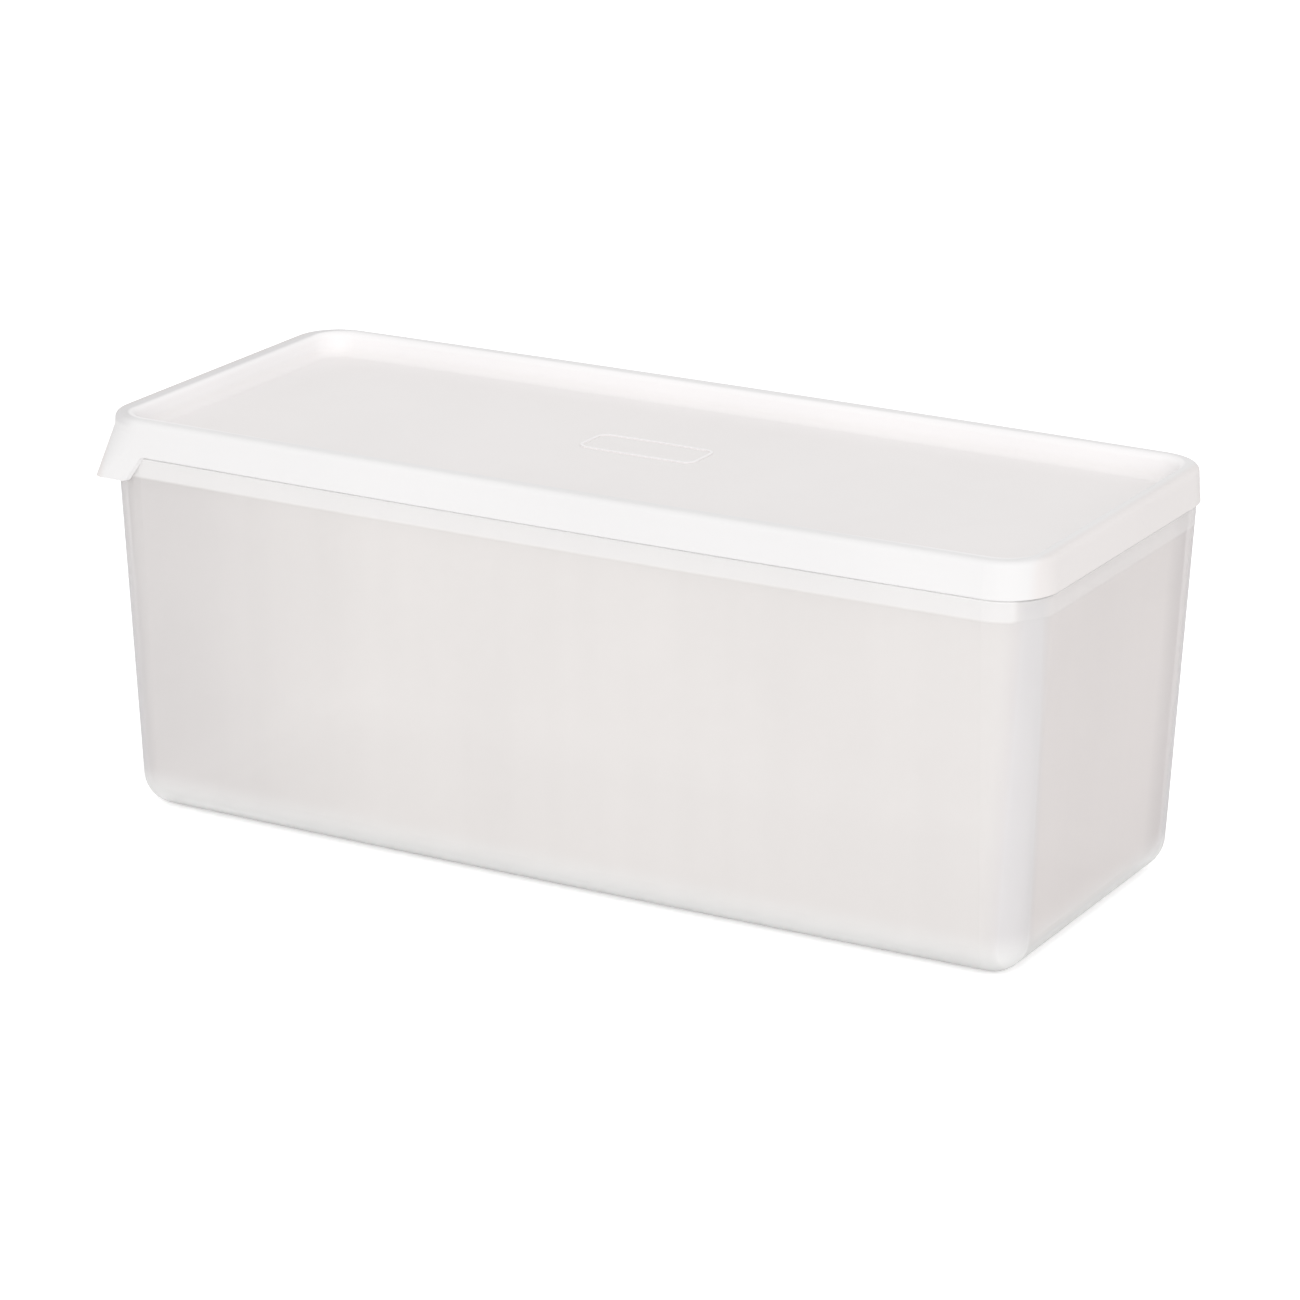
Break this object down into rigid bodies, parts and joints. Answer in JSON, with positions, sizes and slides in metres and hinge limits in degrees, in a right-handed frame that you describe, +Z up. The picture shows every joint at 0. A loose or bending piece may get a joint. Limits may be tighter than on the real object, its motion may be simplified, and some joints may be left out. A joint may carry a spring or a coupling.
{
  "type": "lidded food storage box",
  "caption": "Long tapered food storage box in frosted translucent plastic with rounded corners and a soft press-on lid with a sunk top and a corner pull tab.",
  "frame": {"origin": "middle of the box's underside, on the surface it stands on", "axes": "+X along the box's length, away from the pull tab's end; +Y across it, away from the pull tab's side; +Z up"},
  "size_m": [0.3306, 0.139, 0.133],
  "materials": {
    "tub_plastic": "frosted, translucent",
    "lid_plastic": "satin, milky"
  },
  "bodies": {
    "root": {"tub": "tub_plastic", "lid": "lid_plastic"}
  },
  "joints": []
}
